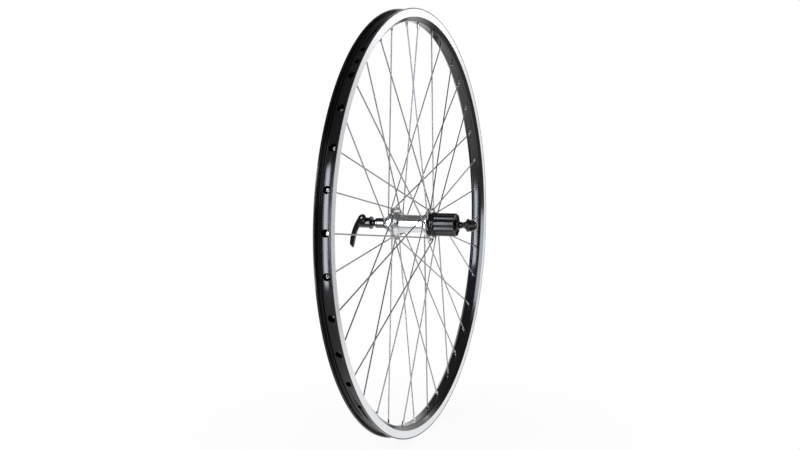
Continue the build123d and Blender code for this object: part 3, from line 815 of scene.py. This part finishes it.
# %% Lever
PIVOT_Y = 86.0
LEVER_FACE = 8.4
LEVER_WIDTH = 6.2
LEVER_EDGE = 1.1
LEVER_SHARP = 60
BOSS_OUTER_RADIUS = 6.2
BOSS_BORE = 2.45


def across(y):
    """Place a part that was made along Z so that it lies across the turned skewer."""
    return SKEWER_TURN @ Matrix.Translation((0, y * MM, 0)) @ Matrix.Rotation(radians(-90), 4, "Y")


arm = outline([
    (6.2, 0.0), (9.3, -13.0, 8.0), (9.4, -32.0, 8.0), (7.4, -46.0, 4.0), (6.2, -49.0, 0.8), (2.8, -52.0, 0.8),
    (0.8, -51.4, 0.6), (0.4, -46.0, 6.0), (2.2, -32.0, 8.0), (2.6, -18.0, 6.0), (-2.0, -5.8),
])
arm_face = bmesh.ops.contextual_create(arm, geom=arm.edges[:])["faces"]
grown = bmesh.ops.extrude_face_region(arm, geom=arm_face)["geom"]
far_side = [item for item in grown if isinstance(item, bmesh.types.BMVert)]
bmesh.ops.translate(arm, vec=(0, LEVER_WIDTH * MM, 0), verts=far_side)
bmesh.ops.recalc_face_normals(arm, faces=arm.faces)
arm_edges = [edge for edge in arm.edges if edge.calc_face_angle() > radians(LEVER_SHARP)]
round_off(arm, arm_edges, LEVER_EDGE, 4)

lever = bmesh.new()
arm_place = Matrix.Translation((-LEVER_FACE * MM, PIVOT_Y * MM, 0)) @ Matrix.Rotation(radians(90), 4, "Z")
join(lever, arm, SKEWER_TURN @ arm_place)
turn(lever, [
    (BOSS_BORE, LEVER_FACE), (BOSS_OUTER_RADIUS, LEVER_FACE, 0.8),
    (BOSS_OUTER_RADIUS, LEVER_FACE + LEVER_WIDTH, 1.2), (BOSS_BORE, LEVER_FACE + LEVER_WIDTH, 0.3),
], SMALL_STEPS, across(PIVOT_Y))
show("lever_painted", lever, [skewer_paint], "lever_arm", ["lever"])

# %% [markdown]
# ## Cam shaft
# The lever's shaft has two round journals in the housing and a neck between them, which sits off the
# shaft's axis and pulls the rod. Three spins make it, the middle one about its own axis. A bright button
# closes the boss.

# %% Cam shaft
NECK_Y = 87.0
NECK_RADIUS = 2.8
NECK_HALF = 2.6
JOURNAL_RADIUS = 4.0
JOURNAL_END = -5.8
BUTTON_RADIUS = 2.38
SHAFT_STEPS = 48

cam = bmesh.new()
turn(cam, [
    (0, 15.1), (1.0, 15.0), (1.9, 14.6, 0.5), (BUTTON_RADIUS, 13.8, 0.5), (BUTTON_RADIUS, LEVER_FACE + 0.02),
    (JOURNAL_RADIUS, LEVER_FACE, 0.2), (JOURNAL_RADIUS, NECK_HALF), (0, NECK_HALF),
], SHAFT_STEPS, across(PIVOT_Y), closed=False)
turn(cam, [
    (0, NECK_HALF), (NECK_RADIUS, NECK_HALF), (NECK_RADIUS, -NECK_HALF), (0, -NECK_HALF),
], 32, across(NECK_Y), closed=False)
turn(cam, [
    (0, -NECK_HALF), (JOURNAL_RADIUS, -NECK_HALF), (JOURNAL_RADIUS, JOURNAL_END, 0.3), (0, JOURNAL_END),
], SHAFT_STEPS, across(PIVOT_Y), closed=False)
show("cam_shaft_turned", cam, [hub_polish], "lever_arm", ["cam_shaft"])

# %% [markdown]
# ## Adjusting nut
# The nut at the other end has three scooped flutes for the fingers. A Boolean with three balls would leave
# hard rims, so a ring of vertices is extruded in short steps, and each new ring is scaled to its own
# radius. Vertices that lie in a flute are scaled in further, most at half the length, so that the flutes
# fade out towards the collar and the rounded nose.

# %% Adjusting nut
NUT_FACE_Y = -79.8
NUT_HEAD_Y = -82.0
NUT_HEAD_RADIUS = 9.0
NUT_COLLAR_RADIUS = 9.75
NUT_BORE = 2.55
NUT_SEGMENTS = 144
FLUTE_STEP = 120
FLUTE_HALF = 36
FLUTE_POWER = 1.4
NUT_RINGS = (
    (0.8, 9.0, 0.04), (1.4, 9.0, 0.2), (2.0, 8.9, 0.32), (2.4, 8.6, 0.36), (2.2, 7.8, 0.32), (1.8, 6.6, 0.22),
    (1.4, 5.0, 0.08), (0.9, 3.4, 0.0), (0.5, 1.6, 0.0),
)


def flute(vert):
    """Share of the full scoop at the vertex's angle: one in the middle of a flute, none outside it."""
    away = from_middle(vert, 0, FLUTE_STEP) / FLUTE_HALF
    return cos(radians(away * 90)) ** FLUTE_POWER if away < 1 else 0.0


head = bmesh.new()
bmesh.ops.create_circle(head, cap_ends=False, segments=NUT_SEGMENTS, radius=NUT_HEAD_RADIUS * MM)
ring = head.edges[:]
for rise, radius, scoop in NUT_RINGS:
    ring = run_on(head, ring, (0, 0, rise * MM))
    widen(head, ring, lambda vert: radius * (1 - scoop * flute(vert)))
close_up(head)
nut = bmesh.new()
join(nut, head, SKEWER_TURN @ Matrix.Translation((0, NUT_HEAD_Y * MM, 0)) @ TO_DRIVE_SIDE)
turn(nut, [
    (NUT_BORE, NUT_FACE_Y, 0.2), (NUT_COLLAR_RADIUS, NUT_FACE_Y, 0.5),
    (NUT_COLLAR_RADIUS, NUT_HEAD_Y, 0.7), (NUT_BORE, NUT_HEAD_Y),
], SMALL_STEPS)
show("adjusting_nut_fluted", nut, [skewer_paint], "nut_body", ["adjusting_nut"], 50)

# %% [markdown]
# ## Conical springs
# Two conical springs centre the skewer. A spin can climb but not widen, so the coil is grown ring by ring:
# each step extrudes the wire's section, turns it about the axle and moves it out and along.

# %% Springs
COIL_STEPS = 24
COIL_SEGMENTS = 8
COIL_START_RADIUS = 4.0
COIL_GROWTH = 2.1


def coil(name, small_y, large_y, turns, wire, body, stands_for):
    """Conical spring from its small end to its large end, with a wire of the given radius."""
    spring = bmesh.new()
    start = bmesh.ops.create_circle(
        spring, cap_ends=True, segments=COIL_SEGMENTS, radius=wire * MM,
        matrix=Matrix.Translation((COIL_START_RADIUS * MM, small_y * MM, 0)),
    )["verts"]
    ring = edges_of(start)
    steps = int(turns * COIL_STEPS)
    angle = 2 * pi / COIL_STEPS
    along = Vector((0, (large_y - small_y) / steps * MM, 0))
    for step in range(steps):
        ring = run_on(spring, ring, (0, 0, 0))
        moved = verts_of(ring)
        bmesh.ops.rotate(spring, cent=(0, 0, 0), matrix=Matrix.Rotation(-angle, 3, "Y"), verts=moved)
        out = on_circle(COIL_GROWTH / steps, degrees(angle * (step + 1)))
        bmesh.ops.translate(spring, vec=out + along, verts=moved)
    close_up(spring)
    show(name, spring, [dark_steel], body, stands_for)


coil("coil_left", 73.3, 73.5, turns=2.5, wire=0.36, body="skewer_head", stands_for=["left_spring"])
coil("coil_right", -73.3, -79.4, turns=4.5, wire=0.4, body="skewer_pull", stands_for=["right_spring"])

# %% [markdown]
# ## Balls and the pieces that keep their solids
# The bearing balls are round again here. An icosphere has even faces and no poles, so no ball shows a seam.
# The pieces deep inside the hub and freehub are right as they are, so they keep their CAD solids and only
# get a finish.

# %% Balls and inner pieces
BALL_RADIUS = 3.17
BALL_CIRCLE = 9.722
BALL_ROWS = (41.0, -55.5)
BALLS_PER_ROW = 9

balls = bmesh.new()
for row_y in BALL_ROWS:
    for step in range(BALLS_PER_ROW):
        place = Matrix.Translation(on_circle(BALL_CIRCLE, step * 360 / BALLS_PER_ROW, row_y))
        bmesh.ops.create_icosphere(balls, subdivisions=3, radius=BALL_RADIUS * MM, matrix=place)
show("bearing_balls_round", balls, [bearing_steel], "ball_set", ["bearing_balls"])

kept = {
    "left_cup": bearing_steel, "freehub_carrier": bearing_steel, "carrier_bolt": bearing_steel,
    "pawl_1": bearing_steel, "pawl_2": bearing_steel, "skewer_rod": bearing_steel,
    "right_dust_cap": rubber_and_painted_shade,
}
for label, finish in kept.items():
    nodes[label].data.materials.clear()
    nodes[label].data.materials.append(finish)
print("kept as solids:", ", ".join(kept))

# %% [markdown]
# ## Studio
# Polished metal is mostly a picture of the room, so the room matters more than the lamps. The wheel stands
# before a white backdrop in a dim room with a grey ceiling and a paler floor to one side. Light Path tells
# the rays apart: the camera sees plain white all round, metal sees the backdrop and the room, and diffuse
# light is an even soft level.

# %% World
DIM_ROOM = 0.035
BACKDROP_SIDE = (0.978, 0.208, 0.2)
BACKDROP_EDGE = (0.64, 0.86)
FAR_FLOOR_SIDE = (0.0, -0.8, -0.6)
FAR_FLOOR_EDGE = (0.3, 0.7)
FAR_FLOOR = 0.25
CEILING_EDGE = (0.30, 0.65)
GREY_CEILING = 0.125
SOFT_LEVEL = 0.6
WHITE = 1.0


def fade(tree, value, edge, low, high):
    """Smooth change from low to high as a value crosses an edge, given by where it starts and ends."""
    made = node(tree, "MapRange", Value=value, From_Min=edge[0], From_Max=edge[1], To_Min=low, To_Max=high)
    made.interpolation_type = "SMOOTHSTEP"
    return made.outputs["Result"]


scene = bpy.context.scene
scene.view_settings.view_transform = "Standard"
world = bpy.data.worlds.new("studio")
scene.world = world
world.use_nodes = True
sky = world.node_tree
background = sky.nodes["Background"]
background.inputs["Color"].default_value = (1, 1, 1, 1)
towards = node(sky, "TexCoord").outputs["Generated"]
facing = node(sky, "VectorMath", "DOT_PRODUCT", i0=towards, i1=BACKDROP_SIDE)
backdrop = fade(sky, facing.outputs["Value"], BACKDROP_EDGE, DIM_ROOM, WHITE)
sideways = node(sky, "VectorMath", "DOT_PRODUCT", i0=towards, i1=FAR_FLOOR_SIDE)
far_floor = fade(sky, sideways.outputs["Value"], FAR_FLOOR_EDGE, 0.0, FAR_FLOOR)
low_room = node(sky, "Math", "ADD", i0=backdrop, i1=far_floor)
upward = node(sky, "SeparateXYZ", Vector=towards).outputs["Z"]
ceiling = fade(sky, upward, CEILING_EDGE, 0.0, 1.0)
room = node(sky, "Mix", Factor=ceiling, A=low_room.outputs[0], B=GREY_CEILING)
ray = node(sky, "LightPath").outputs
mirrored = node(sky, "Math", "ADD", i0=ray["Is Glossy Ray"], i1=ray["Is Transmission Ray"])
lit = node(sky, "Mix", Factor=mirrored.outputs[0], A=SOFT_LEVEL, B=room.outputs["Result"])
seen = node(sky, "Mix", Factor=ray["Is Camera Ray"], A=lit.outputs["Result"], B=WHITE)
sky.links.new(seen.outputs["Result"], background.inputs["Strength"])
print("world nodes:", len(sky.nodes))

# %% [markdown]
# ## Floor
# The floor is a pale round table under the wheel. It keeps a soft shadow, and towards its edge it glows as
# white as the backdrop, so that no edge shows. Metal sees it dimmer in front, where the light on a real
# table falls off.

# %% Floor
TABLE_RADIUS = 0.8
TABLE_WHITE = (0.9, 0.9, 0.9, 1)
TABLE_ROUGHNESS = 0.9
GLOW_EDGE = (0.25, TABLE_RADIUS - 0.2)
GLOW_SHARE = 0.9
FRONT_EDGE = (-0.35, -0.12)
FRONT_LEVEL = 0.4
BACK_LEVEL = 0.95

table_shape = bmesh.new()
bmesh.ops.create_circle(
    table_shape, cap_ends=True, segments=96, radius=TABLE_RADIUS,
    matrix=Matrix.Translation((0, 0, cad_box[0].z)),
)
table_mesh = bpy.data.meshes.new("table")
table_shape.to_mesh(table_mesh)
table_shape.free()
table = bpy.data.objects.new("table", table_mesh)
scene.collection.objects.link(table)
paper = bpy.data.materials.new("table_paper")
paper.use_nodes = True
tree = paper.node_tree
shader = tree.nodes["Principled BSDF"]
shader.inputs["Base Color"].default_value = TABLE_WHITE
shader.inputs["Roughness"].default_value = TABLE_ROUGHNESS
place = node(tree, "TexCoord").outputs["Object"]
away = node(tree, "VectorMath", "LENGTH", i0=place).outputs["Value"]
forward = node(tree, "SeparateXYZ", Vector=place).outputs["X"]
ray = node(tree, "LightPath").outputs
mirror_level = fade(tree, forward, FRONT_EDGE, FRONT_LEVEL, BACK_LEVEL)
strength = node(tree, "Mix", Factor=ray["Is Camera Ray"], A=mirror_level, B=WHITE)
glow = node(tree, "Emission", Strength=strength.outputs["Result"])
share = fade(tree, away, GLOW_EDGE, GLOW_SHARE, 1.0)
blend = node(tree, "MixShader", Fac=share, i1=shader.outputs[0], i2=glow.outputs[0])
tree.links.new(blend.outputs[0], tree.nodes["Material Output"].inputs["Surface"])
table_mesh.materials.append(paper)
print("table at", round(cad_box[0].z, 4))

# %% [markdown]
# ## Lamps
# A tall strip box in front gives the long highlights on the rim's well, the barrel and the freehub. Boxes
# at both sides light the rim's slope and the dust cap, a weak one near the camera lifts the shadows, and a
# small one behind brightens the top of the brake track.

# %% Lamps
COOL = (0.86, 0.91, 1.0)


def soft_box(name, place, aim, width, height, power, tint=(1, 1, 1)):
    """Rectangular lamp of a width and height in metres, turned to what it is aimed at."""
    data = bpy.data.lights.new(name, "AREA")
    data.shape = "RECTANGLE"
    data.size = width
    data.size_y = height
    data.energy = power
    data.color = tint
    lamp = bpy.data.objects.new(name, data)
    lamp.location = place
    lamp.rotation_euler = (Vector(aim) - Vector(place)).to_track_quat("-Z", "Y").to_euler()
    scene.collection.objects.link(lamp)
    print(name, power, "W")


soft_box("front_box", (-1.868, 0.82, -0.03), (0, 0, -0.03), width=0.42, height=2.24, power=30, tint=COOL)
soft_box("side_box", (0.1, -2.0, 0.27), (0.1, 0, 0.1), width=1.0, height=0.78, power=17, tint=COOL)
soft_box("left_box", (0, 2.0, -0.1), (0, 0, 0), width=0.8, height=0.8, power=6)
soft_box("rear_box", (2.2, -0.88, 0.62), (0, 0, 0.2), width=0.25, height=0.2, power=0.3)
soft_box("near_box", (-1.3, -1.5, 0.8), (0, 0, 0), width=0.9, height=1.0, power=3)

# %% [markdown]
# ## Camera
# The camera stands low in front of the wheel, turned well off its plane, with a normal lens. Place, aim and
# lens belong together: a longer lens from further off would show the wheel at the same size but flatter.

# %% Camera
CAMERA_PLACE = (-1.33565, -0.51533, 0.09837)
CAMERA_AIM = (-0.00925, 0.02367, -0.00161)
LENS = 42.915
SENSOR_WIDTH = 36

camera_data = bpy.data.cameras.new("photo_camera")
camera_data.lens = LENS
camera_data.sensor_width = SENSOR_WIDTH
camera = bpy.data.objects.new("photo_camera", camera_data)
camera.location = CAMERA_PLACE
sight = Vector(CAMERA_AIM) - camera.location
camera.rotation_euler = sight.to_track_quat("-Z", "Y").to_euler()
scene.collection.objects.link(camera)
scene.camera = camera
print("camera", round(sight.length, 3), "m away")
